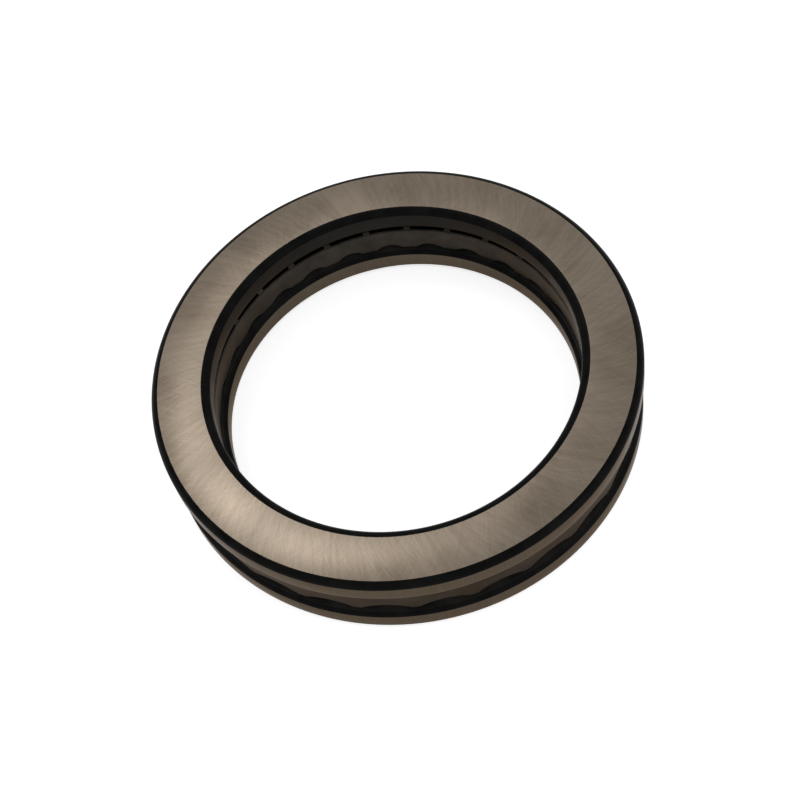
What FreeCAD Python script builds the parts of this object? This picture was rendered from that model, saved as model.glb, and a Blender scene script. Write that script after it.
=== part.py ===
import FreeCAD, Part
import math
import os
import Sketcher

# Single-direction thrust ball bearing of dimension series 11: 100 x 135 x 25 mm.
# +Z is the bearing's axis. The origin is the centre of the shaft washer's flat face, on which
# the bearing rests, so the shaft washer is below and the housing washer is above.
# The first ball stands on +X, and the others follow anticlockwise.

SIZES = {
    # The three boundary dimensions, and the ring diameters that keep the washers clear of
    # the shaft and of the housing that they don't touch.
    "bore_dia": 100.0,
    "outer_dia": 135.0,
    "total_height": 25.0,
    "housing_bore_dia": 102.0,
    "shaft_outer_dia": 134.2,
    # Balls, and the raceways they run in.
    "ball_dia": 12.7,
    "ball_count": 27,
    "pitch_dia": 117.5,
    "groove_radius": 6.9,
    "ball_play": 0.02,
    # Washer section: the shoulder beside the groove, and the corners.
    "shoulder_thickness": 7.4,
    "outer_corner_width": 2.0,
    "inner_corner_width": 2.3,
    "corner_height": 1.5,
    "corner_radius": 2.6,
    "raceway_corner": 1.1,
    # Pressed cage: an inverted channel of sheet steel.
    "sheet_thickness": 0.7,
    "cage_inner_dia": 103.0,
    "cage_outer_dia": 132.0,
    "cage_top": 17.0,
    "inner_flange_bottom": 8.2,
    "outer_flange_bottom": 9.5,
    "bend_radius": 2.0,
    "pocket_dia": 10.8,
    "window_width": 10.2,
    "window_depth": 1.9,
    "window_sill": 16.1,
    "inner_arch_width": 7.8,
    "inner_arch_radius": 5.5,
    "outer_arch_width": 13.4,
    "outer_arch_radius": 11.0,
    # How far a cutting shape runs past the sheet that it cuts.
    "cut_margin": 2.0,
}

UP = FreeCAD.Vector(0, 0, 1)


def make_sheet(doc):
    """Put the driving dimensions in a spreadsheet, one alias to a row."""
    sheet = doc.addObject("Spreadsheet::Sheet", "sizes")
    for row, (alias, value) in enumerate(SIZES.items(), start=1):
        sheet.set(f"A{row}", alias)
        sheet.set(f"B{row}", str(value))
        sheet.setAlias(f"B{row}", alias)
    doc.recompute()
    return sheet


def new_body(doc, label):
    body = doc.addObject("PartDesign::Body", label)
    body.Label = label
    return body


def new_sketch(body, name, plane_role):
    """Start a sketch on one of the body's own origin planes."""
    plane = next(item for item in body.Origin.OriginFeatures if item.Role == plane_role)
    sketch = body.newObject("Sketcher::SketchObject", name)
    sketch.AttachmentSupport = (plane, [""])
    sketch.MapMode = "FlatFace"
    return sketch


def origin_axis(body, role):
    return next(item for item in body.Origin.OriginFeatures if item.Role == role)


def bind(sketch, constraint, name, expression):
    """Add a dimension to a sketch and tie it to the sheet."""
    index = sketch.addConstraint(constraint)
    sketch.renameConstraint(index, name)
    sketch.setExpression("Constraints." + name, expression)


def bind_coordinate(sketch, kind, geometry, point, name, expression, number):
    """Hold one coordinate of a point: on the axis, or at a distance to either side of it."""
    origin = (-1, 1)
    if number == 0:
        axis = -2 if kind == "DistanceX" else -1
        sketch.addConstraint(Sketcher.Constraint("PointOnObject", geometry, point, axis))
    elif number > 0:
        bind(sketch, Sketcher.Constraint(kind, *origin, geometry, point, number), name, expression)
    else:
        constraint = Sketcher.Constraint(kind, geometry, point, *origin, -number)
        bind(sketch, constraint, name, f"-({expression})")


def arc_geometry(start, end, radius, turns_left):
    """Give the arc from start to end, which is drawn anticlockwise whichever way it turns."""
    chord = end.sub(start)
    left = UP.cross(chord).normalize()
    rise = math.sqrt(radius ** 2 - (chord.Length / 2) ** 2)
    centre = start.add(chord.multiply(0.5)).add(left.multiply(rise if turns_left else -rise))
    first, last = (start, end) if turns_left else (end, start)
    angles = [math.atan2(point.y - centre.y, point.x - centre.x) for point in (first, last)]
    if angles[1] < angles[0]:
        angles[1] += 2 * math.pi
    return Part.ArcOfCircle(Part.Circle(centre, UP, radius), *angles)


def value_of(doc, expression):
    """Work out an expression over the sheet, with an object that is removed again."""
    probe = doc.addObject("App::FeaturePython", "probe")
    probe.addProperty("App::PropertyFloat", "value")
    probe.setExpression("value", expression)
    probe.recompute()
    number = probe.value
    doc.removeObject(probe.Name)
    return number


def draw_outline(sketch, corners):
    """Draw a closed outline whose corners and arcs are all tied to the sheet.

    Each corner is (name, across, up) or (name, across, up, radius, turns_left): the last two
    make the edge from this corner to the next an arc, which turns left or right on the way.
    """
    doc = sketch.Document
    numbers = [[value_of(doc, item) for item in corner[1:3]] for corner in corners]
    points = [FreeCAD.Vector(across, up, 0) for across, up in numbers]
    ends = []
    for index, corner in enumerate(corners):
        start = points[index]
        end = points[(index + 1) % len(points)]
        if len(corner) == 3:
            geometry = sketch.addGeometry(Part.LineSegment(start, end))
            ends.append((geometry, 1, 2))
        else:
            radius_expression, turns_left = corner[3:]
            radius = value_of(doc, radius_expression)
            geometry = sketch.addGeometry(arc_geometry(start, end, radius, turns_left))
            ends.append((geometry, 1, 2) if turns_left else (geometry, 2, 1))
    for index, corner in enumerate(corners):
        geometry, first, _ = ends[index]
        previous, _, last = ends[index - 1]
        name, across, up = corner[:3]
        sketch.addConstraint(Sketcher.Constraint("Coincident", previous, last, geometry, first))
        bind_coordinate(sketch, "DistanceX", geometry, first, name + "_across", across, numbers[index][0])
        bind_coordinate(sketch, "DistanceY", geometry, first, name + "_up", up, numbers[index][1])
        if len(corner) > 3:
            radius = value_of(doc, corner[3])
            bind(sketch, Sketcher.Constraint("Radius", geometry, radius), name + "_radius", corner[3])


def revolve(body, sketch, name):
    """Turn a section once round the bearing's axis."""
    turned = body.newObject("PartDesign::Revolution", name)
    turned.Profile = sketch
    turned.ReferenceAxis = (origin_axis(body, "Z_Axis"), [""])
    turned.Angle = 360.0
    sketch.Visibility = False
    return turned


def washer_section(bore, outer, is_upper):
    """List a washer's corners, with heights measured from its flat face.

    The flat face's two corners are rounded and left as forged. The raceway is a groove whose
    radius is a little over the ball's, and its depth leaves the ball its play.
    """
    groove_centre = "(sizes.total_height - sizes.ball_dia) / 2 - sizes.ball_play + sizes.groove_radius"
    rise = f"({groove_centre} - sizes.shoulder_thickness)"
    half_groove = f"sqrt(sizes.groove_radius * sizes.groove_radius - {rise} * {rise})"
    shoulder = "sizes.shoulder_thickness"
    land = "sizes.shoulder_thickness - sizes.raceway_corner"
    corner = "sizes.corner_radius"
    outline = [
        ("face_inner", f"{bore} / 2 + sizes.inner_corner_width", "0"),
        ("face_outer", f"{outer} / 2 - sizes.outer_corner_width", "0", corner, not is_upper),
        ("rim_face", f"{outer} / 2", "sizes.corner_height"),
        ("rim_race", f"{outer} / 2", land),
        ("shoulder_outer", f"{outer} / 2 - sizes.raceway_corner", shoulder),
        ("groove_outer", f"sizes.pitch_dia / 2 + {half_groove}", shoulder, "sizes.groove_radius", is_upper),
        ("groove_inner", f"sizes.pitch_dia / 2 - {half_groove}", shoulder),
        ("shoulder_inner", f"{bore} / 2 + sizes.raceway_corner", shoulder),
        ("bore_race", f"{bore} / 2", land),
        ("bore_face", f"{bore} / 2", "sizes.corner_height", corner, not is_upper),
    ]
    if is_upper:
        return [(name, across, f"sizes.total_height - ({up})", *arc) for name, across, up, *arc in outline]
    return outline


def make_washer(doc, label, bore, outer, is_upper):
    body = new_body(doc, label)
    sketch = new_sketch(body, label + "_section", "XZ_Plane")
    draw_outline(sketch, washer_section(bore, outer, is_upper))
    body.Tip = revolve(body, sketch, label + "_ring")
    return body


def cage_section():
    """List the corners of the cage's channel, which opens downwards."""
    inner = "sizes.cage_inner_dia / 2"
    outer = "sizes.cage_outer_dia / 2"
    sheet_edge = "sizes.sheet_thickness"
    bend_start = "sizes.cage_top - sizes.bend_radius"
    web_under = "sizes.cage_top - sizes.sheet_thickness"
    inside_bend = "sizes.bend_radius - sizes.sheet_thickness"
    return [
        ("inner_edge_a", inner, "sizes.inner_flange_bottom"),
        ("inner_edge_b", f"{inner} + {sheet_edge}", "sizes.inner_flange_bottom"),
        ("inner_inside", f"{inner} + {sheet_edge}", bend_start, inside_bend, False),
        ("web_inside_a", f"{inner} + sizes.bend_radius", web_under),
        ("web_inside_b", f"{outer} - sizes.bend_radius", web_under, inside_bend, False),
        ("outer_inside", f"{outer} - {sheet_edge}", bend_start),
        ("outer_edge_a", f"{outer} - {sheet_edge}", "sizes.outer_flange_bottom"),
        ("outer_edge_b", outer, "sizes.outer_flange_bottom"),
        ("outer_outside", outer, bend_start, "sizes.bend_radius", True),
        ("web_outside_b", f"{outer} - sizes.bend_radius", "sizes.cage_top"),
        ("web_outside_a", f"{inner} + sizes.bend_radius", "sizes.cage_top", "sizes.bend_radius", True),
        ("inner_outside", inner, bend_start),
    ]


def arch_outline(side):
    """List the corners of a scallop cut in the inner or outer flange's lower edge, at one ball."""
    half = f"sizes.{side}_arch_width / 2"
    bottom = f"sizes.{side}_flange_bottom"
    floor = f"{bottom} - sizes.cut_margin"
    return [
        ("foot_a", f"-{half}", floor),
        ("foot_b", half, floor),
        ("spring_b", half, bottom, f"sizes.{side}_arch_radius", True),
        ("spring_a", f"-{half}", bottom),
    ]


def window_outline():
    """List the corners of the window that each pocket opens in the inner bend."""
    near = "sizes.cage_inner_dia / 2 - sizes.cut_margin"
    far = "sizes.cage_inner_dia / 2 + sizes.window_depth"
    return [
        ("near_a", near, "-sizes.window_width / 2"),
        ("far_a", far, "-sizes.window_width / 2"),
        ("far_b", far, "sizes.window_width / 2"),
        ("near_b", near, "sizes.window_width / 2"),
    ]


def cut(body, sketch, name, length, start="0"):
    """Cut a sketch's shape along its plane's normal, from start on, and confirm that it cuts."""
    volume_before = body.Shape.Volume
    sketch.setExpression("AttachmentOffset.Base.z", start)
    pocket = body.newObject("PartDesign::Pocket", name)
    pocket.Profile = sketch
    pocket.Reversed = True
    pocket.setExpression("Length", length)
    sketch.Visibility = False
    body.Document.recompute()
    if pocket.Shape.Volume >= volume_before:
        raise RuntimeError(f"{name} removes nothing")
    return pocket


def make_cage(doc, sheet):
    """Bend the channel, then punch one ball's pocket, window and two arches, and repeat them."""
    body = new_body(doc, "cage")
    channel = new_sketch(body, "cage_section", "XZ_Plane")
    draw_outline(channel, cage_section())
    revolve(body, channel, "cage_channel")
    doc.recompute()

    pocket = new_sketch(body, "ball_pocket", "XY_Plane")
    pitch_radius = sheet.get("pitch_dia") / 2
    hole_radius = sheet.get("pocket_dia") / 2
    hole = pocket.addGeometry(Part.Circle(FreeCAD.Vector(pitch_radius, 0, 0), UP, hole_radius))
    bind(pocket, Sketcher.Constraint("Radius", hole, hole_radius), "hole_radius", "sizes.pocket_dia / 2")
    bind_coordinate(pocket, "DistanceX", hole, 3, "hole_across", "sizes.pitch_dia / 2", pitch_radius)
    bind_coordinate(pocket, "DistanceY", hole, 3, "hole_up", "0", 0)

    window = new_sketch(body, "bend_window", "XY_Plane")
    draw_outline(window, window_outline())

    inner_arch = new_sketch(body, "inner_arch", "YZ_Plane")
    draw_outline(inner_arch, arch_outline("inner"))

    outer_arch = new_sketch(body, "outer_arch", "YZ_Plane")
    draw_outline(outer_arch, arch_outline("outer"))

    cuts = [
        cut(body, pocket, "pocket_cut", "sizes.total_height"),
        cut(body, window, "window_cut", "sizes.total_height", "sizes.window_sill"),
        cut(body, inner_arch, "inner_arch_cut", "sizes.pitch_dia / 2"),
        cut(body, outer_arch, "outer_arch_cut", "sizes.pitch_dia / 2", "sizes.pitch_dia / 2"),
    ]
    repeat = body.newObject("PartDesign::PolarPattern", "round_the_cage")
    repeat.Originals = cuts
    repeat.Axis = (origin_axis(body, "Z_Axis"), [""])
    repeat.Angle = 360.0
    repeat.setExpression("Occurrences", "sizes.ball_count")
    body.Tip = repeat
    return body


def make_ball(doc, number):
    """Set one ball on the pitch circle, midway between the two raceways."""
    label = f"ball_{number:02d}"
    ball = doc.addObject("Part::Sphere", label)
    ball.Label = label
    turn = f"({number - 1} * 360 deg / sizes.ball_count)"
    ball.setExpression("Radius", "sizes.ball_dia / 2")
    ball.setExpression("Placement.Base.x", f"sizes.pitch_dia / 2 * cos{turn}")
    ball.setExpression("Placement.Base.y", f"sizes.pitch_dia / 2 * sin{turn}")
    ball.setExpression("Placement.Base.z", "sizes.total_height / 2")
    return ball


def check(doc, parts):
    """Stop if any object failed to compute, or if a sub-part isn't one sound solid."""
    for item in doc.Objects:
        if {"Invalid", "Error"} & set(item.State):
            raise RuntimeError(f"{item.Label} failed: {item.State}")
    for part in parts:
        shape = part.Shape
        if shape.isNull() or not shape.isValid() or len(shape.Solids) != 1:
            raise RuntimeError(f"{part.Label} isn't one valid solid")


def main():
    doc = FreeCAD.newDocument("thrust_ball_bearing")
    sheet = make_sheet(doc)
    parts = [
        make_washer(doc, "shaft_washer", "sizes.bore_dia", "sizes.shaft_outer_dia", False),
        make_washer(doc, "housing_washer", "sizes.housing_bore_dia", "sizes.outer_dia", True),
        make_cage(doc, sheet),
    ]
    count = int(sheet.get("ball_count"))
    parts += [make_ball(doc, number) for number in range(1, count + 1)]
    doc.recompute()
    check(doc, parts)
    os.makedirs("parts", exist_ok=True)
    for part in parts:
        part.Shape.exportStep(os.path.join("parts", part.Label + ".step"))
        print(part.Label, round(part.Shape.Volume, 1), part.Shape.BoundBox)


main()
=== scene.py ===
import math

import bmesh
import bpy
from mathutils import Matrix, Vector


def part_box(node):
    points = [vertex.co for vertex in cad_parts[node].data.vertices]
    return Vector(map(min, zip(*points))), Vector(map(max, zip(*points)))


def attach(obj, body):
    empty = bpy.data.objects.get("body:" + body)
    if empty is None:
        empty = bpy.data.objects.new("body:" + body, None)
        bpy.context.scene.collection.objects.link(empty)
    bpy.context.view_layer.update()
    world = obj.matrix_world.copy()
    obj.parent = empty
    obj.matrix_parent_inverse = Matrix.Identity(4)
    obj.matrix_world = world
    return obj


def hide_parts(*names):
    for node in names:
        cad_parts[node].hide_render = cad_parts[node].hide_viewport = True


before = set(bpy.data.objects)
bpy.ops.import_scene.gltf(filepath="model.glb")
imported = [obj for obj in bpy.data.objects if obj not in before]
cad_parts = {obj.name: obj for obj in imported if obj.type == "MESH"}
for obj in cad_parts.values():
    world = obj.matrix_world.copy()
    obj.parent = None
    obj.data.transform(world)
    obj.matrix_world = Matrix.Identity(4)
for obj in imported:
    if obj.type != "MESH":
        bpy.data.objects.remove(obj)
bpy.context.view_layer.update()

# Everything is in metres. The bearing's axis is Z, and it rests on Z = 0.
MM = 0.001

# Sizes of the bearing's pieces, which repeat those of the design.
BALL_COUNT = 27
BALL_RADIUS = 6.35 * MM
PITCH_RADIUS = 58.75 * MM
GROOVE_RADIUS = 6.9 * MM
BALL_PLAY = 0.02 * MM
SHOULDER_THICKNESS = 7.4 * MM
INNER_CORNER_WIDTH = 2.3 * MM
OUTER_CORNER_WIDTH = 2.0 * MM
CORNER_HEIGHT = 1.5 * MM
CORNER_RADIUS = 2.6 * MM
RACEWAY_CORNER = 1.1 * MM
SHAFT_BORE_RADIUS = 50.0 * MM
HOUSING_BORE_RADIUS = 51.0 * MM
SHAFT_WASHER_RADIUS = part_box("shaft_washer")[1][0]
HOUSING_WASHER_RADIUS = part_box("housing_washer")[1][0]
TOTAL_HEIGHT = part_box("housing_washer")[1][2]

# How finely the washers are drawn, and how far their sharp edges are eased.
RING_STEPS = 540
CORNER_STEPS = 10
GROOVE_STEPS = 28
EDGE_BREAK = 0.06 * MM
# An eased edge's middle point is moved from the sharp corner by this share of its ends' moves.
EDGE_FULLNESS = 0.3
SMOOTH_TURN = math.radians(12)


# ---------------------------------------------------------------- materials

def grey(level, warmth=0.0):
    """A colour with alpha, redder and less blue than grey by warmth."""
    return (level * (1 + warmth), level, level * (1 - warmth), 1.0)


WHITE = (1, 1, 1, 1)
FACE_DARK = grey(0.150, 0.25)
FACE_LIGHT = grey(0.262, 0.21)
FACE_MARK = grey(0.40, 0.02)
# How bright steel is when it is seen edge on. Oxide and oil keep it from going white.
EDGE_TINT = (0.62, 0.57, 0.53, 1.0)
BUMP_STRENGTH = 0.35
# How far the roughness strays to either side of its middle value.
ROUGHNESS_SPREAD = 0.06

ACROSS_AXIS = (1, 1, 0)
# How fast each kind of mark changes along X, Y and Z, for each metre.
SCRATCH_CHANGE = (900, 90, 1)
RIM_LINE_CHANGE = (0, 0, 160)
SCRATCH_STRENGTH = 0.2
TURNING_LINES_PER_METRE = 4200.0
# Marks round the axis are read from noise along a circle: the larger it is, the finer they are.
RIM_NOISE_CIRCLE = 260.0
TURNING_NOISE_CIRCLE = 3.0


class Nodes:
    """A short way to write a material's node tree."""

    def __init__(self, name):
        self.material = bpy.data.materials.new(name)
        self.material.use_nodes = True
        self.tree = self.material.node_tree
        self.shader = self.tree.nodes["Principled BSDF"]

    def add(self, kind, inputs=(), **settings):
        node = self.tree.nodes.new(kind)
        for key, value in settings.items():
            setattr(node, key, value)
        for key, value in dict(inputs).items():
            self.put(node.inputs[key], value)
        return node

    def put(self, socket, value):
        """Link a socket to an output, or set its value."""
        if isinstance(value, bpy.types.NodeSocket):
            self.tree.links.new(value, socket)
        else:
            socket.default_value = value

    def position(self):
        return self.add("ShaderNodeTexCoord").outputs["Object"]

    def math(self, operation, first, second):
        return self.add("ShaderNodeMath", {0: first, 1: second}, operation=operation).outputs[0]

    def vector(self, operation, first, second):
        inputs = {0: first, 1: second}
        return self.add("ShaderNodeVectorMath", inputs, operation=operation).outputs[0]

    def scaled(self, vector, factor):
        inputs = {0: vector, "Scale": factor}
        return self.add("ShaderNodeVectorMath", inputs, operation="SCALE").outputs[0]

    def noise(self, vector, scale=1.0, detail=3.0, roughness=0.55):
        inputs = {"Vector": vector, "Scale": scale, "Detail": detail, "Roughness": roughness}
        return self.add("ShaderNodeTexNoise", inputs).outputs["Fac"]

    def remap(self, value, low, high, to_low=0.0, to_high=1.0):
        inputs = {"Value": value, "From Min": low, "From Max": high,
                  "To Min": to_low, "To Max": to_high}
        return self.add("ShaderNodeMapRange", inputs).outputs["Result"]

    def blend(self, first, second, share):
        """Add a share of the first value to the rest of the second."""
        part = self.math("MULTIPLY", first, share)
        return self.math("ADD", part, self.math("MULTIPLY", second, 1 - share))

    def mix(self, factor, first, second):
        node = self.add("ShaderNodeMix", {0: factor}, data_type="RGBA")
        self.put(node.inputs[6], first)
        self.put(node.inputs[7], second)
        return node.outputs[2]


def distance_from_axis(nodes, position):
    flat = nodes.vector("MULTIPLY", position, ACROSS_AXIS)
    return nodes.add("ShaderNodeVectorMath", {0: flat}, operation="LENGTH").outputs["Value"]


def direction_from_axis(nodes, position):
    """Give the way from the axis to a position, as a point on a unit circle."""
    flat = nodes.vector("MULTIPLY", position, ACROSS_AXIS)
    return nodes.add("ShaderNodeVectorMath", {0: flat}, operation="NORMALIZE").outputs[0]


def grinding_arcs(nodes, radius, direction, sweep, lines, stretch):
    """Give streaks that cross a flat ring along arcs.

    sweep is how many radians an arc turns for each metre of radius, lines how many streaks go
    round the ring, and stretch how fast a streak changes along its length.
    """
    from_middle = nodes.math("SUBTRACT", radius, PITCH_RADIUS)
    angle = nodes.math("MULTIPLY", from_middle, sweep)
    turned = nodes.add("ShaderNodeVectorRotate", {"Vector": direction, "Angle": angle},
                       rotation_type="Z_AXIS").outputs[0]
    spread = nodes.scaled(turned, lines / (2 * math.pi))
    along = nodes.math("MULTIPLY", from_middle, stretch)
    lift = nodes.add("ShaderNodeCombineXYZ", {"Z": along}).outputs[0]
    return nodes.noise(nodes.vector("ADD", spread, lift), detail=4.0, roughness=0.7)


def finish_steel(nodes, tone, wear, roughness, height, bump_size):
    """Wire the tone, roughness and relief that every steel has, and return the material."""
    shader = nodes.shader
    shader.inputs["Metallic"].default_value = 1.0
    shader.inputs["Specular Tint"].default_value = EDGE_TINT
    nodes.put(shader.inputs["Base Color"], tone)
    smoothest = roughness - ROUGHNESS_SPREAD
    roughest = roughness + ROUGHNESS_SPREAD
    nodes.put(shader.inputs["Roughness"], nodes.remap(wear, 0.3, 0.7, smoothest, roughest))
    relief = {"Strength": BUMP_STRENGTH, "Distance": bump_size, "Height": height}
    nodes.put(shader.inputs["Normal"], nodes.add("ShaderNodeBump", relief).outputs[0])
    return nodes.material


def ground_face():
    """Flat face finished on a surface grinder: crossing sets of arcs, and small scratches."""
    nodes = Nodes("ground_face")
    position = nodes.position()
    radius = distance_from_axis(nodes, position)
    direction = direction_from_axis(nodes, position)
    arcs_a = grinding_arcs(nodes, radius, direction, sweep=9.0, lines=1300, stretch=80)
    arcs_b = grinding_arcs(nodes, radius, direction, sweep=-12.0, lines=900, stretch=70)
    coarse = grinding_arcs(nodes, radius, direction, sweep=-5.0, lines=300, stretch=50)
    cloud = nodes.noise(position, scale=55.0, detail=4.0)
    lines = nodes.blend(nodes.blend(arcs_a, arcs_b, 0.5), coarse, 0.65)
    level = nodes.blend(lines, cloud, 0.7)
    tone = nodes.mix(nodes.remap(level, 0.38, 0.62), FACE_DARK, FACE_LIGHT)
    drawn_out = nodes.vector("MULTIPLY", position, SCRATCH_CHANGE)
    scratches = nodes.remap(nodes.noise(drawn_out, detail=2.0), 0.74, 0.78)
    tone = nodes.mix(nodes.math("MULTIPLY", scratches, SCRATCH_STRENGTH), tone, FACE_MARK)
    return finish_steel(nodes, tone, cloud, roughness=0.28, height=lines, bump_size=0.008 * MM)


def ground_rim(name, dark, light):
    """Rim or bore finished on a cylindrical grinder: fine lines, mostly along the axis."""
    nodes = Nodes(name)
    position = nodes.position()
    around = nodes.scaled(direction_from_axis(nodes, position), RIM_NOISE_CIRCLE)
    along = nodes.vector("MULTIPLY", position, RIM_LINE_CHANGE)
    place = nodes.vector("ADD", around, along)
    lines = nodes.noise(place, roughness=0.65)
    cloud = nodes.noise(position, scale=70.0)
    tone = nodes.mix(nodes.remap(nodes.blend(lines, cloud, 0.6), 0.36, 0.64), dark, light)
    return finish_steel(nodes, tone, cloud, roughness=0.32, height=lines, bump_size=0.03 * MM)


def clouded_steel(name, dark, light, roughness, grain_scale, bump_size):
    """Unmachined steel: dull, faintly clouded and granular. Gives its node tree too."""
    nodes = Nodes(name)
    position = nodes.position()
    cloud = nodes.noise(position, scale=160.0, detail=5.0, roughness=0.6)
    grain = nodes.noise(position, scale=grain_scale, roughness=0.6)
    tone = nodes.mix(nodes.remap(cloud, 0.35, 0.65), dark, light)
    return finish_steel(nodes, tone, cloud, roughness, grain, bump_size), nodes


def pressed_sheet(name, dark, light, roughness):
    """Cold-rolled sheet after pressing."""
    return clouded_steel(name, dark, light, roughness, 1800.0, 0.03 * MM)[0]


def hardened(name, dark, light, roughness, gloss):
    """Surface left as it came from hardening, under a dark oxide that isn't metallic."""
    material, nodes = clouded_steel(name, dark, light, roughness, 2600.0, 0.04 * MM)
    nodes.shader.inputs["Metallic"].default_value = 0.0
    nodes.shader.inputs["Specular Tint"].default_value = WHITE
    nodes.shader.inputs["Specular IOR Level"].default_value = gloss
    return material


def turned_steel(name, dark, light, roughness):
    """Surface with fine turning lines that run round the axis."""
    nodes = Nodes(name)
    position = nodes.position()
    radius = distance_from_axis(nodes, position)
    height = nodes.add("ShaderNodeSeparateXYZ", {0: position}).outputs["Z"]
    across_lines = {"X": nodes.math("MULTIPLY", radius, TURNING_LINES_PER_METRE),
                    "Z": nodes.math("MULTIPLY", height, TURNING_LINES_PER_METRE)}
    level = nodes.add("ShaderNodeCombineXYZ", across_lines).outputs[0]
    around = nodes.scaled(direction_from_axis(nodes, position), TURNING_NOISE_CIRCLE)
    place = nodes.vector("ADD", around, level)
    lines = nodes.noise(place, detail=2.0)
    cloud = nodes.noise(position, scale=120.0, detail=4.0)
    tone = nodes.mix(nodes.remap(nodes.blend(lines, cloud, 0.5), 0.36, 0.64), dark, light)
    return finish_steel(nodes, tone, cloud, roughness, height=lines, bump_size=0.02 * MM)


def make_materials():
    return {
        "face": ground_face(),
        "rim": ground_rim("ground_rim", grey(0.050, 0.27), grey(0.070, 0.25)),
        "corner": hardened("hardened_corner", grey(0.003), grey(0.007, 0.05),
                           roughness=0.34, gloss=0.04),
        "shoulder": hardened("hardened_shoulder", grey(0.012), grey(0.022, 0.08),
                             roughness=0.38, gloss=0.15),
        "dark_bore": turned_steel("turned_dark_bore", grey(0.010, 0.05), grey(0.016, 0.08),
                                  roughness=0.36),
        "raceway": turned_steel("honed_raceway", grey(0.12, 0.1), grey(0.18, 0.1),
                                roughness=0.16),
        "cage": pressed_sheet("pressed_sheet", grey(0.020, 0.15), grey(0.032, 0.17),
                              roughness=0.33),
        "ball": turned_steel("polished_ball", grey(0.30, 0.08), grey(0.34, 0.08),
                             roughness=0.12),
    }


# ------------------------------------------------------------------- meshes

def arc_points(start, end, radius, turns_left, steps):
    """Points along the arc from start up to, but not including, end."""
    chord = end - start
    left = Vector((-chord.y, chord.x)).normalized()
    rise = math.sqrt(radius ** 2 - (chord.length / 2) ** 2)
    centre = (start + end) / 2 + left * (rise if turns_left else -rise)
    first = start - centre
    sweep = math.atan2(first.cross(end - centre), first.dot(end - centre))
    return [centre + Matrix.Rotation(sweep * step / steps, 2) @ first for step in range(steps)]


def broken_edges(corners):
    """Ease each sharp corner of an outline, so that its edge catches light as a real one does."""
    eased = []
    for index, (point, finish) in enumerate(corners):
        before, finish_before = corners[index - 1]
        after = corners[(index + 1) % len(corners)][0]
        back = before - point
        ahead = after - point
        if math.pi - back.angle(ahead, math.pi) < SMOOTH_TURN:
            eased.append((point, finish))
            continue
        ease = min(EDGE_BREAK, back.length / 4, ahead.length / 4)
        to_start = back.normalized() * ease
        to_end = ahead.normalized() * ease
        eased.append((point + to_start, finish_before))
        eased.append((point + (to_start + to_end) * EDGE_FULLNESS, finish))
        eased.append((point + to_end, finish))
    return eased


def washer_outline(bore, outer, rim_finish, bore_finish):
    """A washer's section, as points with the finish of the edge that follows each.

    Heights are measured from the washer's flat face.
    """
    groove_centre = TOTAL_HEIGHT / 2 - BALL_RADIUS - BALL_PLAY + GROOVE_RADIUS
    half_groove = math.sqrt(GROOVE_RADIUS ** 2 - (groove_centre - SHOULDER_THICKNESS) ** 2)
    land = SHOULDER_THICKNESS - RACEWAY_CORNER
    face_outer = Vector((outer - OUTER_CORNER_WIDTH, 0))
    rim_face = Vector((outer, CORNER_HEIGHT))
    groove_outer = Vector((PITCH_RADIUS + half_groove, SHOULDER_THICKNESS))
    groove_inner = Vector((PITCH_RADIUS - half_groove, SHOULDER_THICKNESS))
    bore_face = Vector((bore, CORNER_HEIGHT))
    face_inner = Vector((bore + INNER_CORNER_WIDTH, 0))

    outer_corner = arc_points(face_outer, rim_face, CORNER_RADIUS, True, CORNER_STEPS)
    groove = arc_points(groove_outer, groove_inner, GROOVE_RADIUS, False, GROOVE_STEPS)
    inner_corner = arc_points(bore_face, face_inner, CORNER_RADIUS, True, CORNER_STEPS)
    outline = [(face_inner, "face")]
    outline += [(point, "corner") for point in outer_corner]
    outline += [(rim_face, rim_finish),
                (Vector((outer, land)), "corner"),
                (Vector((outer - RACEWAY_CORNER, SHOULDER_THICKNESS)), "shoulder")]
    outline += [(point, "raceway") for point in groove]
    outline += [(groove_inner, "shoulder"),
                (Vector((bore + RACEWAY_CORNER, SHOULDER_THICKNESS)), "corner"),
                (Vector((bore, land)), bore_finish)]
    outline += [(point, "corner") for point in inner_corner]
    return broken_edges(outline)


def turned_ring(name, outline, materials):
    """Turn a closed section once round the axis, with one material to each finish."""
    finishes = sorted({finish for _, finish in outline})
    mesh = bpy.data.meshes.new(name)
    piece = bpy.data.objects.new(name, mesh)
    bpy.context.scene.collection.objects.link(piece)
    for finish in finishes:
        mesh.materials.append(materials[finish])
    shape = bmesh.new()
    rings = []
    for step in range(RING_STEPS):
        turn = 2 * math.pi * step / RING_STEPS
        across, along = math.cos(turn), math.sin(turn)
        rings.append([shape.verts.new((p.x * across, p.x * along, p.y)) for p, _ in outline])
    for step, ring in enumerate(rings):
        following = rings[(step + 1) % RING_STEPS]
        for index, (_, finish) in enumerate(outline):
            other = (index + 1) % len(outline)
            corners = (ring[index], following[index], following[other], ring[other])
            face = shape.faces.new(corners)
            face.material_index = finishes.index(finish)
            face.smooth = True
    bmesh.ops.recalc_face_normals(shape, faces=shape.faces)
    shape.to_mesh(mesh)
    shape.free()
    return piece


def make_washers(materials):
    """The two washers: the lower one fits the shaft, and the upper one the housing."""
    outline = washer_outline(SHAFT_BORE_RADIUS, SHAFT_WASHER_RADIUS, "rim", "rim")
    lower = turned_ring("shaft_washer_ring", outline, materials)
    outline = washer_outline(HOUSING_BORE_RADIUS, HOUSING_WASHER_RADIUS, "rim", "dark_bore")
    turned_over = [(Vector((p.x, TOTAL_HEIGHT - p.y)), finish) for p, finish in outline]
    upper = turned_ring("housing_washer_ring", turned_over, materials)
    for piece, node in ((lower, "shaft_washer"), (upper, "housing_washer")):
        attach(piece, node + "_body")
        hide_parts(node)


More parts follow.
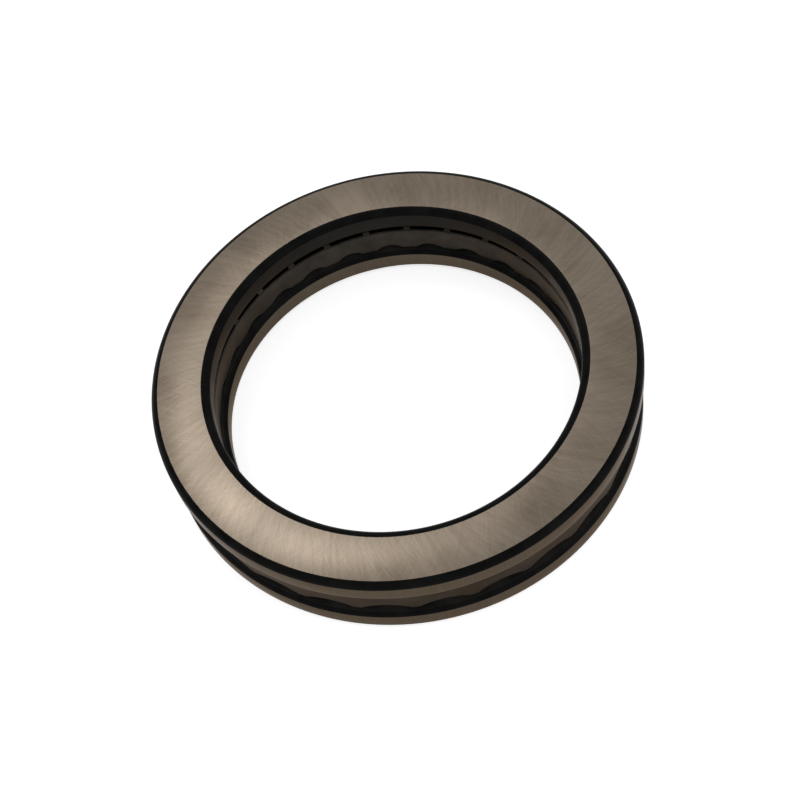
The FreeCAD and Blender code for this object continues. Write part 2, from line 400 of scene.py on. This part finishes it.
def dress(node, material):
    """Give a CAD node its one material."""
    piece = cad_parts[node]
    piece.data.materials.clear()
    piece.data.materials.append(material)


def dress_cage_and_balls(materials):
    dress("cage", materials["cage"])
    for number in range(1, BALL_COUNT + 1):
        dress(f"ball_{number:02d}", materials["ball"])


# ------------------------------------------------------- camera, floor, light

CAMERA_ELEVATION = math.radians(57.24)
CAMERA_ROLL = math.radians(14.68)
CAMERA_AZIMUTH = math.radians(-1.2)
CAMERA_DISTANCE = 421.1 * MM
CAMERA_ASIDE = 2.0 * MM
CAMERA_ABOVE = 10.6 * MM
CAMERA_LENS_MM = 69.84
SENSOR_MM = 36.0
NEAREST_SEEN = 10.0 * MM

FLOOR_REACH = 3.0
# The floor lies a hair under the bearing, so that the two surfaces don't coincide.
FLOOR_LEVEL = -0.02 * MM
FLOOR_COLOUR = (0.8, 0.8, 0.8, 1)
FLOOR_ROUGHNESS = 0.9
FLOOR_GLOW = 0.7
ROOM_STRENGTH = 0.62


def make_camera():
    """Look down on the top face's centre, with the camera rolled and moved a little off it."""
    target = Vector((0, 0, TOTAL_HEIGHT))
    azimuth = Matrix.Rotation(CAMERA_AZIMUTH, 3, "Z")
    ahead = azimuth @ Vector((0, math.cos(CAMERA_ELEVATION), -math.sin(CAMERA_ELEVATION)))
    level_right = azimuth @ Vector((1, 0, 0))
    right = Matrix.Rotation(CAMERA_ROLL, 3, ahead) @ level_right
    above = right.cross(ahead)
    place = target - ahead * CAMERA_DISTANCE + right * CAMERA_ASIDE - above * CAMERA_ABOVE
    data = bpy.data.cameras.new("camera")
    data.lens = CAMERA_LENS_MM
    data.sensor_width = SENSOR_MM
    data.clip_start = NEAREST_SEEN
    camera = bpy.data.objects.new("camera", data)
    bpy.context.scene.collection.objects.link(camera)
    facing = Matrix((right, above, -ahead)).transposed().to_4x4()
    camera.matrix_world = Matrix.Translation(place) @ facing
    bpy.context.scene.camera = camera


def make_floor():
    corners = [(-FLOOR_REACH, -FLOOR_REACH, 0), (FLOOR_REACH, -FLOOR_REACH, 0),
               (FLOOR_REACH, FLOOR_REACH, 0), (-FLOOR_REACH, FLOOR_REACH, 0)]
    mesh = bpy.data.meshes.new("floor")
    mesh.from_pydata(corners, [], [(0, 1, 2, 3)])
    floor = bpy.data.objects.new("floor", mesh)
    floor.location.z = FLOOR_LEVEL
    bpy.context.scene.collection.objects.link(floor)
    nodes = Nodes("floor")
    nodes.put(nodes.shader.inputs["Base Color"], FLOOR_COLOUR)
    nodes.put(nodes.shader.inputs["Roughness"], FLOOR_ROUGHNESS)
    nodes.put(nodes.shader.inputs["Emission Color"], WHITE)
    nodes.put(nodes.shader.inputs["Emission Strength"], FLOOR_GLOW)
    mesh.materials.append(nodes.material)


def add_area_light(name, place, size, power):
    """Add a round light that faces the bearing's centre."""
    data = bpy.data.lights.new(name, "AREA")
    data.shape = "DISK"
    data.size = size
    data.energy = power
    light = bpy.data.objects.new(name, data)
    bpy.context.scene.collection.objects.link(light)
    light.location = place
    light.rotation_euler = (-Vector(place)).to_track_quat("-Z", "Y").to_euler()


def make_light():
    """A pale room, a soft light high behind the bearing, and a wider one to its front right."""
    world = bpy.data.worlds.new("studio")
    world.use_nodes = True
    background = world.node_tree.nodes["Background"]
    background.inputs["Color"].default_value = WHITE
    background.inputs["Strength"].default_value = ROOM_STRENGTH
    bpy.context.scene.world = world
    add_area_light("overhead", (-0.26, 0.77, 1.5), size=0.45, power=1.7)
    add_area_light("side", (1.2, -0.9, 1.0), size=0.8, power=2.0)
    bpy.context.scene.view_settings.view_transform = "Standard"


def main():
    materials = make_materials()
    make_washers(materials)
    dress_cage_and_balls(materials)
    make_camera()
    make_floor()
    make_light()


main()
